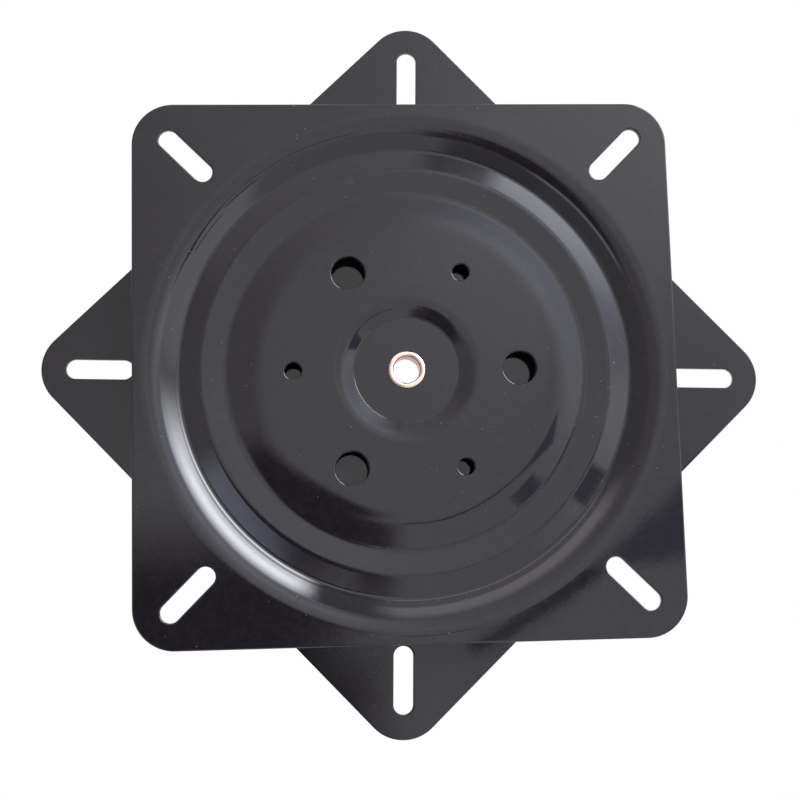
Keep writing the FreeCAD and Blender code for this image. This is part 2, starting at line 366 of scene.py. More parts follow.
def to_slot(x, y, form, sizes):
    """How far a point lies outside the nearest corner slot."""
    half_line = (sizes.slot_length - sizes.slot_width) / 2
    root = math.sqrt(0.5)
    along = abs(x) * root + abs(y) * root - form.slot_centre
    across = abs(x) * root - abs(y) * root
    past = max(abs(along) - half_line, 0.0)
    return math.hypot(past, across) - sizes.slot_width / 2


def hole_places(form):
    """Centre and radius of the six round holes, large and small in turn."""
    sizes = plate_sizes()
    places = []
    for index in range(6):
        angle = math.radians(60 * index)
        radius = sizes.large_hole if index % 2 == 0 else sizes.small_hole
        places.append(
            (form.hole_circle * math.cos(angle), form.hole_circle * math.sin(angle), radius)
        )
    return places


def cut_rim(thickness):
    """Leaves a rim of faces along the selected face's edge and opens the rest."""
    bpy.ops.mesh.inset(thickness=thickness, depth=0.0)
    bpy.ops.mesh.delete(type="ONLY_FACE")


def pressed_plate(name):
    """One pressed plate about its middle plane, with its sides along X and Y."""
    sizes = plate_sizes()
    form = PlateForm(sizes)
    piece = turned_sheet(name, bend_points(form.corners, form.bends), DISH_SEGMENTS)
    draw_flat(piece, form, sizes)
    draw_flange(piece, form, sizes)
    thicken(piece, sizes.sheet)
    coin_floor(piece, form, sizes)
    break_edges(piece, form, sizes)
    bpy.ops.object.mode_set(mode="OBJECT")
    return piece


def rim_width(sizes):
    """Width of the rim of faces along each punched edge, which its roll-over is cut from."""
    return sizes.edge_round * 1.5


def draw_flat(piece, form, sizes):
    """Opens the flat ring of the dish, and draws it again round its holes."""
    rim = rim_width(sizes)

    def on_flat(face):
        middle = face.calc_center_median()
        away = math.hypot(middle.x, middle.y)
        return form.flat_from < away < form.flat_to and abs(middle.z - form.flat) < LINE_UP

    select(piece, "FACE", on_flat)
    bpy.ops.mesh.delete(type="ONLY_FACE")
    select(piece, "EDGE", lambda edge: edge.is_wire)
    bpy.ops.mesh.delete(type="EDGE")
    for x, y, radius in hole_places(form):
        large = radius == sizes.large_hole
        bpy.ops.mesh.select_all(action="DESELECT")
        bpy.ops.mesh.primitive_circle_add(
            vertices=LARGE_HOLE_SEGMENTS if large else SMALL_HOLE_SEGMENTS,
            radius=radius + rim,
            fill_type="NGON",
            location=(x, y, form.flat),
        )
        bpy.ops.mesh.select_mode(type="FACE")
        cut_rim(rim)

    def round_the_flat(edge):
        x, y, z = edge.verts[0].co
        if not edge.is_boundary or abs(z - form.flat) > LINE_UP:
            return False
        away = math.hypot(x, y)
        if near(away, form.flat_from) or near(away, form.flat_to):
            return True
        return any(
            near(math.hypot(x - hole_x, y - hole_y), radius + rim)
            for hole_x, hole_y, radius in hole_places(form)
        )

    select(piece, "EDGE", round_the_flat)
    bpy.ops.mesh.fill(use_beauty=True)


def draw_flange(piece, form, sizes):
    """Draws the square flange round the dish, with its four corner slots."""
    rim = rim_width(sizes)
    bpy.ops.mesh.select_all(action="DESELECT")
    bpy.ops.mesh.primitive_plane_add(size=sizes.side, location=(0, 0, MIDDLE))
    bpy.ops.mesh.select_mode(type="VERT")
    bpy.ops.mesh.bevel(
        offset=sizes.corner, segments=CORNER_SEGMENTS, affect="VERTICES", profile=0.5
    )
    bpy.ops.mesh.select_mode(type="FACE")
    cut_rim(rim)
    for corner in range(4):
        bpy.ops.mesh.select_all(action="DESELECT")
        bpy.ops.mesh.primitive_plane_add(size=1, location=(0, 0, MIDDLE))
        bpy.ops.transform.resize(
            value=(sizes.slot_length + 2 * rim, sizes.slot_width + 2 * rim, 1),
            center_override=(0, 0, MIDDLE),
        )
        bpy.ops.mesh.select_mode(type="VERT")
        bpy.ops.mesh.bevel(
            offset=sizes.slot_width / 2 + rim,
            segments=SLOT_END_SEGMENTS,
            affect="VERTICES",
            profile=0.5,
        )
        bpy.ops.mesh.remove_doubles(threshold=LINE_UP)
        bpy.ops.transform.translate(value=(form.slot_centre, 0, 0))
        bpy.ops.transform.rotate(
            value=math.radians(45 + 90 * corner), orient_axis="Z", center_override=(0, 0, 0)
        )
        bpy.ops.mesh.select_mode(type="FACE")
        cut_rim(rim)

    def round_the_flange(edge):
        x, y, z = edge.verts[0].co
        if not edge.is_boundary or abs(z - MIDDLE) > LINE_UP:
            return False
        return (
            near(math.hypot(x, y), form.join)
            or near(to_square(x, y, sizes.side / 2, sizes.corner), -rim)
            or near(to_slot(x, y, form, sizes), rim)
        )

    select(piece, "EDGE", round_the_flange)
    bpy.ops.mesh.fill(use_beauty=True)


def thicken(piece, sheet):
    """Joins the sheet, turns all its faces outwards, and gives it its thickness below."""
    bpy.ops.mesh.select_all(action="SELECT")
    bpy.ops.mesh.remove_doubles(threshold=LINE_UP / 2)
    bpy.ops.mesh.normals_make_consistent(inside=False)
    work = bmesh.from_edit_mesh(piece.data)
    downwards = sum(face.calc_area() * face.normal.z for face in work.faces) < 0
    if downwards:
        bpy.ops.mesh.flip_normals()
    bpy.ops.object.mode_set(mode="OBJECT")
    bpy.ops.object.modifier_add(type="SOLIDIFY")
    thickness = piece.modifiers[-1]
    thickness.thickness = sheet
    thickness.offset = -1.0
    thickness.use_even_offset = True
    thickness.use_quality_normals = True
    bpy.ops.object.modifier_apply(modifier=thickness.name)


def coin_floor(piece, form, sizes):
    """Makes the inner face flat under the coined floor, which is pressed into the outer one."""
    past_the_coin = form.coin + 0.0003
    inside_the_sheet = form.seat - sizes.sheet / 2

    def under_the_coin(point):
        x, y, z = point.co
        return math.hypot(x, y) < past_the_coin and z < inside_the_sheet

    bpy.ops.object.mode_set(mode="EDIT")
    select(piece, "VERT", under_the_coin)
    bpy.ops.transform.resize(value=(1, 1, 0), center_override=(0, 0, form.floor - sizes.sheet))


def break_edges(piece, form, sizes):
    """Rolls over the punched edges of the outer face and breaks those of the inner one."""
    steep = 0.3
    level = 0.7
    flange_from = form.join - 0.001

    def punched(edge, outer):
        if len(edge.link_faces) != 2:
            return False
        first, second = (abs(face.normal.z) for face in edge.link_faces)
        if min(first, second) > steep or max(first, second) < level:
            return False
        x, y, z = edge.verts[0].co
        away = math.hypot(x, y)
        face_height = MIDDLE if away > flange_from else form.flat
        return away >= form.coin and near(z, face_height if outer else face_height - sizes.sheet)

    for outer, width, segments in ((True, sizes.edge_round, 4), (False, sizes.burr_round, 2)):
        select(piece, "EDGE", lambda edge: punched(edge, outer))
        bpy.ops.mesh.bevel(
            offset=width, segments=segments, affect="EDGES", profile=0.5, clamp_overlap=True
        )


def smooth_off(piece):
    """Smooth shading that keeps the flats flat, with real edges left sharp."""
    pick_up(piece)
    bpy.ops.object.shade_smooth_by_angle(angle=math.radians(35))
    bpy.ops.object.modifier_add(type="WEIGHTED_NORMAL")
    weighting = piece.modifiers[-1]
    weighting.keep_sharp = True
    weighting.weight = 50
    bpy.ops.object.modifier_apply(modifier=weighting.name)


def settle(piece, matrix):
    """Moves a piece to its place, and leaves its object at the origin."""
    pick_up(piece)
    piece.matrix_world = matrix
    bpy.ops.object.transform_apply(location=True, rotation=True, scale=True)


class SWIVEL_OT_plates(bpy.types.Operator):
    """Presses the upper plate and, turned over under it, the lower one"""

    bl_idname = "swivel.plates"
    bl_label = "Pressed Plates"

    def execute(self, context):
        sizes = plate_sizes()
        upper = pressed_plate("upper_pressing")
        pick_up(upper)
        bpy.ops.object.duplicate(linked=False)
        lower = context.object
        lower.name = "lower_pressing"
        lower.data.name = "lower_pressing"
        lift = Matrix.Translation((0, 0, MIDDLE))
        turned_over = Matrix.Rotation(math.pi, 4, "X")
        settle(upper, lift @ Matrix.Rotation(sizes.upper_turn, 4, "Z"))
        settle(lower, lift @ Matrix.Rotation(sizes.lower_turn, 4, "Z") @ turned_over)
        paint = black_paint()
        for plate, body, node in ((upper, "seat", "upper_plate"), (lower, "base", "lower_plate")):
            smooth_off(plate)
            plate.data.materials.clear()
            plate.data.materials.append(paint)
            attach(plate, body)
            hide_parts(node)
        return {"FINISHED"}


# Hollow rivet


def half_round(centre, height, radius, steps, start, end):
    """Points of a half turn about a middle, from one angle to another, with both ends."""
    turns = [start + (end - start) * step / steps for step in range(steps + 1)]
    return [(centre + radius * math.cos(at), height + radius * math.sin(at)) for at in turns]


def rivet_profile():
    """The rivet's wall with a rolled end over each recess floor, as a closed line."""
    sizes = rivet_sizes()
    form = PlateForm(plate_sizes())
    low = MIDDLE - form.seat
    high = MIDDLE + form.seat + sizes.play
    inside = sizes.curl_inside
    outside = inside + sizes.wall
    curl = sizes.bore + sizes.wall + inside
    tube_steps, outer_steps, inner_steps = 6, 14, 5
    tube = [
        (sizes.bore, low + (high - low) * step / tube_steps) for step in range(tube_steps + 1)
    ]
    upper_curl = half_round(curl, high, outside, outer_steps, math.pi, 0.0)[1:]
    upper_curl += half_round(curl, high, inside, inner_steps, 0.0, math.pi)
    lower_curl = half_round(curl, low, inside, inner_steps, -math.pi, 0.0)
    lower_curl += half_round(curl, low, outside, outer_steps, 0.0, -math.pi)[:-1]
    return tube + upper_curl + lower_curl


class SWIVEL_OT_rivet(bpy.types.Operator):
    """Rolls the hollow copper rivet"""

    bl_idname = "swivel.rivet"
    bl_label = "Hollow Rivet"

    def execute(self, context):
        rivet = turned_sheet("hollow_rivet", rivet_profile(), RIVET_SEGMENTS, closed=True)
        bpy.ops.mesh.select_all(action="SELECT")
        bpy.ops.mesh.normals_make_consistent(inside=False)
        bpy.ops.object.mode_set(mode="OBJECT")
        pick_up(rivet)
        bpy.ops.object.shade_smooth_by_angle(angle=math.radians(50))
        rivet.data.materials.clear()
        rivet.data.materials.append(copper_wash())
        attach(rivet, "base")
        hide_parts("pivot_rivet")
        return {"FINISHED"}


# Ball race


class SWIVEL_OT_race(bpy.types.Operator):
    """Finishes the balls, their cage and the spacer washer"""

    bl_idname = "swivel.race"
    bl_label = "Ball Race"

    def execute(self, context):
        nylon = moulded_nylon()
        steel = ball_steel()
        finish_of = {"ball_cage": nylon, "spacer_washer": nylon}
        finish_of.update({name: steel for name in BALL_NODES})
        for name, finish in finish_of.items():
            node = frame["nodes"][name]
            node.data.materials.clear()
            node.data.materials.append(finish)
        return {"FINISHED"}


# Finishes


class Tree:
    """Short words for drawing a node tree."""

    def __init__(self, tree):
        self.tree = tree

    def join(self, value, socket):
        """Links a value into a socket, or sets it there."""
        if isinstance(value, bpy.types.NodeSocket):
            self.tree.links.new(value, socket)
        else:
            socket.default_value = value

    def add(self, kind, inputs=None, **settings):
        """A new node with its settings and inputs."""
        node = self.tree.nodes.new(kind)
        for key, value in settings.items():
            setattr(node, key, value)
        for key, value in (inputs or {}).items():
            self.join(value, node.inputs[key])
        return node

    def math(self, operation, first, second=0.0, third=0.0, clamp=False):
        """A sum, product or other operation on values."""
        node = self.add("ShaderNodeMath", {0: first, 1: second, 2: third}, operation=operation)
        node.use_clamp = clamp
        return node.outputs[0]

    def noise(self, place, scale, detail=2.0, roughness=0.5, distortion=0.0):
        """Cloudy noise, with its scale in clouds per metre."""
        inputs = {
            "Vector": place,
            "Scale": scale,
            "Detail": detail,
            "Roughness": roughness,
            "Distortion": distortion,
        }
        return self.add("ShaderNodeTexNoise", inputs, noise_dimensions="3D").outputs["Fac"]

    def band(self, value, low, high, to_low=0.0, to_high=1.0):
        """Smooth step of a value from one range to another."""
        inputs = {"Value": value, 1: low, 2: high, 3: to_low, 4: to_high}
        step = self.add("ShaderNodeMapRange", inputs, interpolation_type="SMOOTHSTEP", clamp=True)
        return step.outputs[0]

    def blend(self, factor, first, second):
        """A colour between two others."""
        node = self.add("ShaderNodeMix", data_type="RGBA", blend_type="MIX")
        for key, value in ((0, factor), (6, first), (7, second)):
            self.join(value, node.inputs[key])
        return node.outputs[2]

    def vector(self, operation, first, second):
        """A sum or product of vectors."""
        inputs = {0: first, 1: second}
        return self.add("ShaderNodeVectorMath", inputs, operation=operation).outputs[0]

    def bump(self, height, distance, strength=1.0):
        """A normal from a height between 0 and 1, which stands for a distance in metres."""
        inputs = {"Strength": strength, "Distance": distance, "Height": height}
        return self.add("ShaderNodeBump", inputs).outputs[0]

    def group(self, group, inputs):
        """A node group placed in the tree with its own values."""
        return self.add("ShaderNodeGroup", inputs, node_tree=group).outputs


def new_group(name, inputs, outputs):
    """A node group with named sockets, and its tree to draw in if it isn't drawn yet."""
    group = bpy.data.node_groups.get(name)
    if group:
        return group, None, None, None
    group = bpy.data.node_groups.new(name, "ShaderNodeTree")
    for label, kind, value in inputs:
        socket = group.interface.new_socket(name=label, in_out="INPUT", socket_type=kind)
        if value is not None:
            socket.default_value = value
    for label, kind in outputs:
        group.interface.new_socket(name=label, in_out="OUTPUT", socket_type=kind)
    tree = Tree(group)
    source = tree.add("NodeGroupInput").outputs
    sink = tree.add("NodeGroupOutput").inputs
    return group, tree, source, sink


def orange_peel_group():
    """Height of sprayed and baked paint: fine peel, slow waves of the pressed sheet."""
    group, tree, source, sink = new_group(
        "Orange Peel",
        [
            ("Place", "NodeSocketVector", None),
            ("Peel Size", "NodeSocketFloat", 0.0018),
            ("Peel", "NodeSocketFloat", 0.5),
            ("Wave Size", "NodeSocketFloat", 0.014),
            ("Wave", "NodeSocketFloat", 0.5),
        ],
        [("Height", "NodeSocketFloat")],
    )
    if tree:
        fine_scale = tree.math("DIVIDE", 1.0, source["Peel Size"])
        slow_scale = tree.math("DIVIDE", 1.0, source["Wave Size"])
        fine = tree.noise(source["Place"], fine_scale, detail=1.0, roughness=0.45)
        slow = tree.noise(source["Place"], slow_scale, detail=2.0, roughness=0.4)
        fine = tree.math("MULTIPLY", fine, source["Peel"])
        slow = tree.math("MULTIPLY", slow, source["Wave"])
        tree.join(tree.math("ADD", fine, slow), sink["Height"])
    return group


def dust_group():
    """Mask of dust specks in the paint and lint on it."""
    group, tree, source, sink = new_group(
        "Dust Specks",
        [
            ("Place", "NodeSocketVector", None),
            ("Spacing", "NodeSocketFloat", 0.006),
            ("Size", "NodeSocketFloat", 0.05),
            ("Amount", "NodeSocketFloat", 0.4),
        ],
        [("Mask", "NodeSocketFloat")],
    )
    if tree:
        scale = tree.math("DIVIDE", 1.0, source["Spacing"])
        cells = tree.add(
            "ShaderNodeTexVoronoi", {"Vector": source["Place"], "Scale": scale}, feature="F1"
        )
        patch = tree.noise(source["Place"], scale=34.0, detail=2.0, roughness=0.6)
        chance = tree.add("ShaderNodeSeparateColor", {0: cells.outputs["Color"]}).outputs[0]
        spread = tree.math("MULTIPLY", tree.band(patch, 0.42, 0.68), source["Amount"])
        there = tree.math("LESS_THAN", chance, spread)
        edge = tree.math("MULTIPLY", source["Size"], 0.6)
        speck = tree.math("SUBTRACT", source["Size"], cells.outputs["Distance"])
        speck = tree.math("DIVIDE", speck, edge, clamp=True)
        tree.join(tree.math("MULTIPLY", speck, there), sink["Mask"])
    return group


def scratch_group():
    """Mask of fine scratches in one rough direction."""
    group, tree, source, sink = new_group(
        "Fine Scratches",
        [
            ("Place", "NodeSocketVector", None),
            ("Turn", "NodeSocketFloat", 0.6),
            ("Thinness", "NodeSocketFloat", 0.012),
            ("Amount", "NodeSocketFloat", 0.5),
        ],
        [("Mask", "NodeSocketFloat")],
    )
    if tree:
        wobble = tree.add(
            "ShaderNodeTexNoise", {"Vector": source["Place"], "Scale": 22.0, "Detail": 1.0}
        ).outputs["Color"]
        stray = (0.02, 0.02, 0.02)
        scratches_per_metre = (38.0, 900.0, 0.0)
        strayed = tree.vector("MULTIPLY", wobble, stray)
        strayed = tree.vector("ADD", source["Place"], strayed)
        spun = tree.add(
            "ShaderNodeVectorRotate",
            {"Vector": strayed, "Angle": source["Turn"]},
            rotation_type="Z_AXIS",
        ).outputs[0]
        drawn = tree.vector("MULTIPLY", spun, scratches_per_metre)
        streak = tree.noise(drawn, scale=1.0, detail=0.0, roughness=0.0)
        line = tree.math("ABSOLUTE", tree.math("SUBTRACT", streak, 0.5))
        line = tree.math("SUBTRACT", 1.0, tree.math("DIVIDE", line, source["Thinness"]), clamp=True)
        where = tree.noise(source["Place"], scale=16.0, detail=3.0, roughness=0.6)
        rare = tree.band(where, 0.54, 0.70)
        faint = tree.math("MULTIPLY", line, rare)
        tree.join(tree.math("MULTIPLY", faint, source["Amount"]), sink["Mask"])
    return group


def smudge_group():
    """Cloudy change of gloss, as from handling and uneven baking."""
    group, tree, source, sink = new_group(
        "Gloss Clouds",
        [
            ("Place", "NodeSocketVector", None),
            ("Low", "NodeSocketFloat", 0.1),
            ("High", "NodeSocketFloat", 0.25),
            ("Size", "NodeSocketFloat", 0.04),
        ],
        [("Roughness", "NodeSocketFloat")],
    )
    if tree:
        scale = tree.math("DIVIDE", 1.0, source["Size"])
        cloud = tree.noise(source["Place"], scale, detail=4.0, roughness=0.62, distortion=0.4)
        cloud = tree.band(cloud, 0.3, 0.72)
        spread = tree.math("SUBTRACT", source["High"], source["Low"])
        rough = tree.math("MULTIPLY_ADD", cloud, spread, source["Low"])
        tree.join(rough, sink["Roughness"])
    return group


def bare_material(name):
    """A material with an empty tree, and its output's socket."""
    material = bpy.data.materials.new(name)
    material.use_nodes = True
    material.node_tree.nodes.clear()
    tree = Tree(material.node_tree)
    return material, tree, tree.add("ShaderNodeOutputMaterial").inputs["Surface"]


def new_material(name):
    """A material with its tree and shader, and the place on the piece."""
    material, tree, surface = bare_material(name)
    shader = tree.add("ShaderNodeBsdfPrincipled")
    tree.join(shader.outputs[0], surface)
    return material, tree, shader, tree.add("ShaderNodeTexCoord").outputs["Object"]


def solid(rgb, gain=1.0):
    """A colour for a socket, made lighter by a gain."""
    return (rgb[0] * gain, rgb[1] * gain, rgb[2] * gain, 1.0)


def gloss(tree, place, low, high, size):
    """Roughness of a finish, in clouds between a low and a high value."""
    clouds = {"Place": place, "Low": low, "High": high, "Size": size}
    return tree.group(smudge_group(), clouds)["Roughness"]


def coat(tree, shader, tone, rough, normal=None):
    """Feeds a shader its colour, its roughness and, where it has a bump, its normal."""
    tree.join(tone, shader.inputs["Base Color"])
    tree.join(rough, shader.inputs["Roughness"])
    if normal:
        tree.join(normal, shader.inputs["Normal"])


def black_paint():
    """Glossy black baked enamel with orange peel, haze, dust and fine scratches."""
    colours = finishes()
    paint = colours.paint
    material, tree, shader, place = new_material("black_enamel")
    shader.inputs["IOR"].default_value = 1.5
    specks = {"Place": place, "Spacing": 0.0045, "Size": 0.075, "Amount": 0.8}
    lines = {"Place": place, "Turn": 0.7, "Amount": 0.35}
    peel = {"Place": place, "Peel Size": 0.0022, "Peel": 0.13, "Wave Size": 0.018, "Wave": 1.0}
    rough = gloss(tree, place, low=0.03, high=0.085, size=0.05)
    dust = tree.group(dust_group(), specks)["Mask"]
    scratch = tree.group(scratch_group(), lines)["Mask"]
    height = tree.group(orange_peel_group(), peel)["Height"]
    cloud = tree.noise(place, scale=9.0, detail=3.0, roughness=0.6)
    haze = tree.band(tree.noise(place, scale=330.0, detail=4.0, roughness=0.65), 0.34, 0.72)
    tone = tree.blend(cloud, solid(paint), solid(paint, gain=1.35))
    tone = tree.blend(haze, tone, solid(paint, gain=1.7))
    tone = tree.blend(tree.math("MULTIPLY", dust, 0.75), tone, solid(colours.dust))
    tone = tree.blend(tree.math("MULTIPLY", scratch, 0.35), tone, solid(colours.dust))
    rough = tree.math("MAXIMUM", rough, tree.math("MULTIPLY", dust, 0.7))
    coat(tree, shader, tone, rough, tree.bump(height, distance=0.00003))
    return material


def copper_wash():
    """Copper-washed steel, rubbed pale by the rolling tool, with tarnish in patches and painted
    shade on the bore's wall.
    """
    colours = finishes()
    bore = rivet_sizes().bore
    material, tree, shader, place = new_material("copper_wash")
    shader.inputs["Metallic"].default_value = 1.0
    patches = tree.noise(place, scale=420.0, detail=3.0, roughness=0.6)
    stains = tree.band(patches, 0.5, 0.8, 0.0, 0.45)
    split = tree.add("ShaderNodeSeparateXYZ", {0: place}).outputs
    away = tree.math("MULTIPLY", split[0], split[0])
    away = tree.math("SQRT", tree.math("MULTIPLY_ADD", split[1], split[1], away))
    # Painted shade: the bore's wall gets the darker copper, as the shade inside the hole
    inside = tree.band(away, bore + 0.0002, bore + 0.0006, 1.0, 0.0)
    stains_and_bore_shade = tree.math("MAXIMUM", stains, inside)
    rough = gloss(tree, place, low=0.16, high=0.34, size=0.002)
    marks = tree.noise(place, scale=900.0, detail=2.0, roughness=0.6)
    # Copper, darker in tarnish patches and with painted shade in the bore
    tone = tree.blend(stains_and_bore_shade, solid(colours.copper), solid(colours.tarnish_and_bore_shade))
    coat(tree, shader, tone, rough, tree.bump(marks, distance=0.00002))
    return material


def moulded_nylon():
    """Natural nylon with a moulded grain and a film of grease."""
    colours = finishes()
    material, tree, shader, place = new_material("moulded_nylon")
    film = tree.band(tree.noise(place, scale=90.0, detail=3.0, roughness=0.6), 0.45, 0.7)
    film = tree.math("MULTIPLY", film, 0.7)
    rough = gloss(tree, place, low=0.3, high=0.55, size=0.006)
    grain = tree.noise(place, scale=2200.0, detail=1.0, roughness=0.5)
    tone = tree.blend(film, solid(colours.nylon), solid(colours.grease))
    coat(tree, shader, tone, rough, tree.bump(grain, distance=0.00001, strength=0.6))
    return material


def ball_steel():
    """Ground and lapped steel with a thin film of grease."""
    colours = finishes()
    material, tree, shader, place = new_material("ball_steel")
    shader.inputs["Metallic"].default_value = 1.0
    film = tree.band(tree.noise(place, scale=260.0, detail=2.0, roughness=0.6), 0.45, 0.75)
    film = tree.math("MULTIPLY", film, 0.4)
    rough = gloss(tree, place, low=0.06, high=0.22, size=0.003)
    tone = tree.blend(film, solid(colours.steel), solid(colours.grease))
    coat(tree, shader, tone, rough)
    return material


# Stage

CAMERA_PLACE = (-0.0441, -0.0932, 0.6404)
CAMERA_LENS = 61.65
CAMERA_SENSOR = 36.0
# The camera's right, down and forward directions, with the upper plate's sides along X and Y
CAMERA_AXES = (
    (0.9975, -0.02465, 0.06618),
    (-0.01623, -0.99206, -0.12474),
    (0.06873, 0.12335, -0.98998),
)
LAMP_AZIMUTH = math.radians(37.0)
LAMP_ELEVATION = math.radians(42.0)
LAMP_DISTANCE = 1.6
LAMP_SIZE = (1.3, 1.0)
LAMP_WATTS = 22.0
WHITE = (1.0, 1.0, 1.0, 1.0)


def make_camera():
    """The photograph's viewpoint."""
    bpy.ops.object.camera_add(location=CAMERA_PLACE)
    camera = bpy.context.object
    camera.name = "photo_camera"
    turn_back = Matrix.Rotation(-plate_sizes().upper_turn, 3, "Z")
    right, down, ahead = (Vector(row) @ turn_back for row in CAMERA_AXES)
    pose = Matrix((right, -down, -ahead)).transposed()
    camera.rotation_euler = pose.to_euler()
    camera.data.lens = CAMERA_LENS
    camera.data.sensor_width = CAMERA_SENSOR
    camera.data.clip_start = 0.01
    bpy.context.scene.camera = camera


def make_floor():
    """A pale floor that looks white to the camera and in reflections, and takes the shadow."""
    put_down()
    bpy.ops.mesh.primitive_plane_add(size=8.0, location=(0, 0, 0))
    floor = bpy.context.object
    floor.name = "floor"
    material, tree, surface = bare_material("pale_floor")
    card = tree.add("ShaderNodeBsdfDiffuse", {"Color": (0.8, 0.8, 0.8, 1.0)})
    white = tree.add("ShaderNodeEmission", {"Color": WHITE, "Strength": 1.0})
    path = tree.add("ShaderNodeLightPath").outputs
    seen = tree.math("MAXIMUM", path["Is Camera Ray"], path["Is Glossy Ray"])
    seen = tree.math("MAXIMUM", seen, path["Is Transmission Ray"])
    both = tree.add("ShaderNodeMixShader", {0: seen, 1: card.outputs[0], 2: white.outputs[0]})
    tree.join(both.outputs[0], surface)
    floor.data.materials.append(material)


def make_world():
    """White to the camera; in reflections a room with a low window and its glow on the ceiling."""
    world = bpy.data.worlds.new("studio")
    bpy.context.scene.world = world
    world.use_nodes = True
    world.node_tree.nodes.clear()
    tree = Tree(world.node_tree)
    direction = tree.add("ShaderNodeTexCoord").outputs["Generated"]
    split = tree.add("ShaderNodeSeparateXYZ", {0: direction}).outputs
    azimuth = tree.math("ARCTAN2", split[1], split[0])
    azimuth = tree.math("MULTIPLY", azimuth, 180 / math.pi)
    level = tree.math("ARCSINE", tree.math("MINIMUM", tree.math("MAXIMUM", split[2], -1.0), 1.0))
    level = tree.math("MULTIPLY", level, 180 / math.pi)

    def sector(from_turn, to_turn, from_soft, to_soft):
        """One between two azimuths, with soft sides."""
        middle = (from_turn + to_turn) / 2
        half = (to_turn - from_turn) / 2
        away = tree.math("WRAP", tree.math("SUBTRACT", azimuth, middle), 180.0, -180.0)
        first = tree.band(away, -half - from_soft, -half + from_soft)
        last = tree.band(away, half - to_soft, half + to_soft, 1.0, 0.0)
        return tree.math("MULTIPLY", first, last)

    def storey(low, low_soft, high, high_soft):
        """One between two elevations, with soft ends."""
        above = tree.band(level, low - low_soft, low + low_soft)
        below = tree.band(level, high - high_soft, high + high_soft, 1.0, 0.0)
        return tree.math("MULTIPLY", above, below)

    def both(first, second):
        return tree.math("MULTIPLY", first, second)

    def add_to(total, mask, strength):
        return tree.math("MULTIPLY_ADD", mask, strength, total)

    # Walls, dim all round but for the pale one on the right and the top of the far one
    right = sector(322, 372, 4, 8)
    near_right = sector(264, 322, 4, 4)
    near_left = sector(232, 262, 5, 5)
    far = sector(81, 138, 4, 8)
    walls = add_to(0.56, right, 1.35)
    walls = add_to(walls, near_right, 0.5)
    walls = add_to(walls, near_left, -0.12)
    walls = add_to(walls, far, 0.55)
    walls = add_to(walls, both(far, storey(19, 4, 44, 9)), 1.2)
    # The large window at the far right, brightest low down and in its middle
    window = both(sector(20, 66, 10, 3), storey(6, 4, 47, 3))
    window_middle = both(sector(30, 64, 8, 5), storey(18, 6, 38, 9))
    walls = add_to(walls, window, tree.band(level, 26, 50, 11.5, 7.0))
    walls = add_to(walls, window_middle, 6.5)
    # The ceiling, lit over the window and darker on the left
    lit = both(sector(39, 76, 13, 13), tree.band(level, 73, 83, 1.0, 0.1))
    dark = both(sector(114, 262, 22, 20), tree.band(level, 72, 86, 1.0, 0.0))
    ceiling = add_to(1.22, lit, 0.5)
    ceiling = add_to(ceiling, dark, -0.47)
    overhead = tree.band(level, 46, 64)
    strength = both(walls, tree.math("SUBTRACT", 1.0, overhead))
    strength = tree.math("MULTIPLY_ADD", ceiling, overhead, strength)
    # The window's glow on the wall over it and on the ceiling
    lintel = both(sector(27, 65, 28, 16), storey(47, 2, 50.5, 4))
    glow = both(sector(0, 70, 35, 24), storey(50, 4, 65, 9))
    strength = add_to(strength, lintel, 3.2)
    strength = add_to(strength, glow, 1.25)
    # Warm on the left, cool on the right, and bluish over the window
    warm = (1.03, 1.0, 1.02, 1.0)
    cool = (0.97, 1.0, 1.05, 1.0)
    bluish = (0.94, 0.99, 1.13, 1.0)
    tint = tree.blend(tree.band(split[0], -0.3, 0.4), warm, cool)
    over_window = both(sector(16, 84, 16, 20), storey(47, 4, 63, 5))
    tint = tree.blend(over_window, tint, bluish)
    room = tree.add("ShaderNodeBackground", {"Strength": strength, "Color": tint})
    plain = tree.add("ShaderNodeBackground", {"Color": WHITE, "Strength": 0.5})
    white = tree.add("ShaderNodeBackground", {"Color": WHITE, "Strength": 1.0})
    path = tree.add("ShaderNodeLightPath").outputs
    glossy = tree.add(
        "ShaderNodeMixShader", {0: path["Is Glossy Ray"], 1: plain.outputs[0], 2: room.outputs[0]}
    )
    seen = tree.math("MAXIMUM", path["Is Camera Ray"], path["Is Transmission Ray"])
    mixed = tree.add("ShaderNodeMixShader", {0: seen, 1: glossy.outputs[0], 2: white.outputs[0]})
    output = tree.add("ShaderNodeOutputWorld")
    tree.join(mixed.outputs[0], output.inputs["Surface"])


def card_mask(tree, size, reach, soft, outline):
    """One on a card's outline and nought past it, with a soft edge, by the card's own UV map."""
    uv = tree.add("ShaderNodeTexCoord").outputs["UV"]
    split = tree.add("ShaderNodeSeparateXYZ", {0: uv}).outputs
    away = []
    for axis in range(2):
        share = tree.math("ABSOLUTE", tree.math("SUBTRACT", split[axis], 0.5))
        away.append(tree.math("MULTIPLY", share, reach[axis]))
    if outline == "wedge":
        half_width = tree.math("MULTIPLY", split[0], size[1] / 2)
        past = tree.math("SUBTRACT", away[1], half_width)
        return tree.band(past, -soft, soft, 1.0, 0.0)
    if outline == "oval":
        across = tree.math("POWER", tree.math("DIVIDE", away[0], size[0] / 2), 2.0)
        along = tree.math("POWER", tree.math("DIVIDE", away[1], size[1] / 2), 2.0)
        radius = tree.math("SQRT", tree.math("ADD", across, along))
        part = 2 * soft / size[0]
        return tree.band(radius, 1 - part, 1 + part, 1.0, 0.0)
    across, along = (
        tree.band(distance, side / 2 - soft, side / 2 + soft, 1.0, 0.0)
        for distance, side in zip(away, size)
    )
    return tree.math("MULTIPLY", across, along)


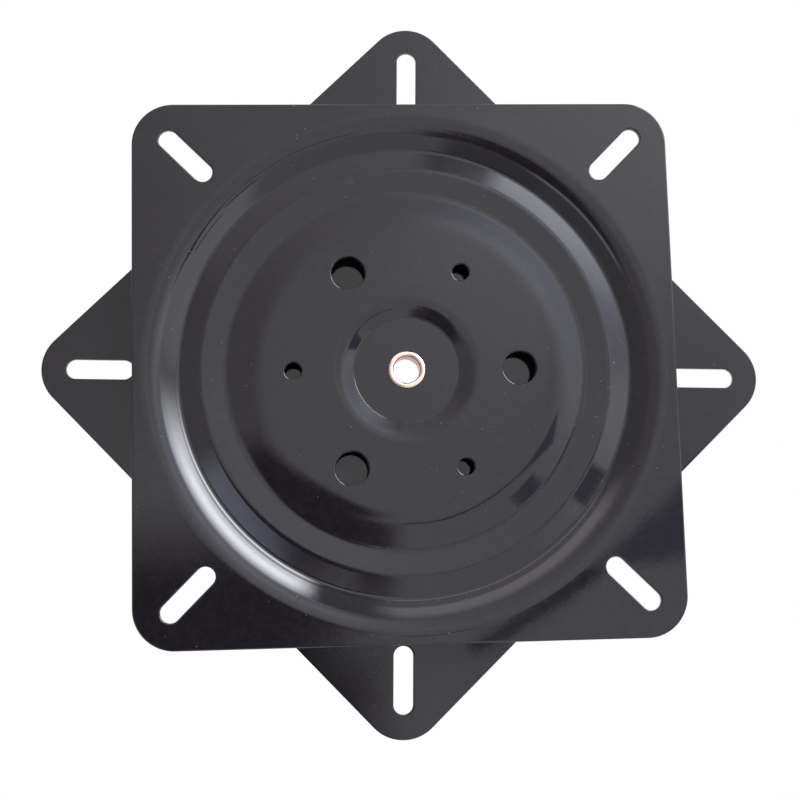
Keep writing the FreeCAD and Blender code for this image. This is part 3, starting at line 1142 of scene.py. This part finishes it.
def glow_card(name, place, size, angle, soft, shade, strength, outline="oblong"):
    """A card with soft edges over the part, which only its gloss sees."""
    put_down()
    bpy.ops.mesh.primitive_plane_add(size=1, location=place, rotation=(0, 0, math.radians(angle)))
    card = bpy.context.object
    card.name = name
    reach = (size[0] + 2 * soft, size[1] + 2 * soft)
    card.scale = (reach[0], reach[1], 1)
    bpy.ops.object.transform_apply(location=True, rotation=True, scale=True)
    material, tree, surface = bare_material(name)
    mask = card_mask(tree, size, reach, soft, outline)
    light = tree.add("ShaderNodeEmission", {"Color": solid(shade), "Strength": strength})
    clear = tree.add("ShaderNodeBsdfTransparent")
    mixed = tree.add("ShaderNodeMixShader", {0: mask, 1: clear.outputs[0], 2: light.outputs[0]})
    tree.join(mixed.outputs[0], surface)
    card.data.materials.append(material)
    for ray in ("camera", "diffuse", "shadow", "transmission", "volume_scatter"):
        setattr(card, "visible_" + ray, False)


def make_cards():
    """Cards about the camera, dark but for a pale one, that draw single reflections in the dish."""
    violet = (1.0, 0.88, 1.0)
    blue = (0.82, 0.92, 1.2)
    cool = (0.86, 0.9, 1.12)
    # Heights, apart so that no two cards lie in one plane where they cross
    halfway = 0.35
    lowest = 0.634
    low = 0.640
    high = 0.642
    top = 0.644
    # Name, place, size, turn, softness of the edge, colour, strength, and outline if not oblong
    glow_card("near_side", (-0.175, -0.205, low), (0.30, 0.28), 4, 0.05, violet, 0.1)
    glow_card("near_middle", (-0.02, -0.29, high), (0.09, 0.24), 0, 0.035, violet, 0.32)
    glow_card("camera_side", (-0.055, -0.10, top), (0.13, 0.11), 0, 0.036, violet, 0.16, "oval")
    glow_card("pale_card", (-0.334, -0.250, lowest), (0.10, 0.29), 35, 0.045, cool, 2.2)
    glow_card("dark_line", (0.163, -0.125, low), (0.135, 0.014), 33, 0.003, blue, 0.1)
    glow_card("dark_line_end", (0.046, -0.1213, halfway), (0.054, 0.0065), 7, 0.0016, blue, 0.15)
    glow_card("dark_wedge", (0.285, -0.055, high), (0.16, 0.10), 26, 0.005, blue, 0.42, "wedge")
    glow_card("step_wedge", (0.322, -0.172, low), (0.05, 0.075), -35, 0.008, blue, 0.38)
    glow_card("flank_wedge", (0.485, -0.158, low), (0.045, 0.10), -35, 0.008, blue, 0.3)


def make_lamp():
    """A soft box in the window's direction, for the plain light and the shadow."""
    across = LAMP_DISTANCE * math.cos(LAMP_ELEVATION)
    place = Vector(
        (
            across * math.cos(LAMP_AZIMUTH),
            across * math.sin(LAMP_AZIMUTH),
            LAMP_DISTANCE * math.sin(LAMP_ELEVATION),
        )
    )
    bpy.ops.object.light_add(type="AREA", location=place)
    lamp = bpy.context.object
    lamp.name = "soft_box"
    lamp.rotation_euler = place.to_track_quat("Z", "Y").to_euler()
    lamp.data.shape = "RECTANGLE"
    lamp.data.size, lamp.data.size_y = LAMP_SIZE
    lamp.data.energy = LAMP_WATTS
    lamp.visible_glossy = False


class SWIVEL_OT_stage(bpy.types.Operator):
    """Sets the floor, the studio light and the camera"""

    bl_idname = "swivel.stage"
    bl_label = "Studio Stage"

    def execute(self, context):
        put_down()
        make_camera()
        make_floor()
        make_world()
        make_cards()
        make_lamp()
        context.scene.view_settings.view_transform = "Standard"
        put_down()
        return {"FINISHED"}


class SWIVEL_PT_panel(bpy.types.Panel):
    """Lists the steps that build the bearing"""

    bl_idname = "SWIVEL_PT_panel"
    bl_label = "Lazy Susan Bearing"
    bl_space_type = "VIEW_3D"
    bl_region_type = "UI"
    bl_category = "Swivel"

    def draw(self, context):
        layout = self.layout
        for operator in (SWIVEL_OT_plates, SWIVEL_OT_rivet, SWIVEL_OT_race, SWIVEL_OT_stage):
            layout.operator(operator.bl_idname)
        for group in (plate_sizes(), rivet_sizes(), finishes()):
            column = layout.column()
            for name in group.__annotations__:
                column.prop(group, name)


CLASSES = (
    PlateSizes,
    RivetSizes,
    Finishes,
    SWIVEL_OT_plates,
    SWIVEL_OT_rivet,
    SWIVEL_OT_race,
    SWIVEL_OT_stage,
    SWIVEL_PT_panel,
)


def register():
    for kind in CLASSES:
        bpy.utils.register_class(kind)
    bpy.types.Scene.swivel_plate = PointerProperty(type=PlateSizes)
    bpy.types.Scene.swivel_rivet = PointerProperty(type=RivetSizes)
    bpy.types.Scene.swivel_finishes = PointerProperty(type=Finishes)


def unregister():
    del bpy.types.Scene.swivel_finishes
    del bpy.types.Scene.swivel_rivet
    del bpy.types.Scene.swivel_plate
    for kind in reversed(CLASSES):
        bpy.utils.unregister_class(kind)


def main():
    register()
    bpy.ops.swivel.plates()
    bpy.ops.swivel.rivet()
    bpy.ops.swivel.race()
    bpy.ops.swivel.stage()


if __name__ == "__main__":
    main()
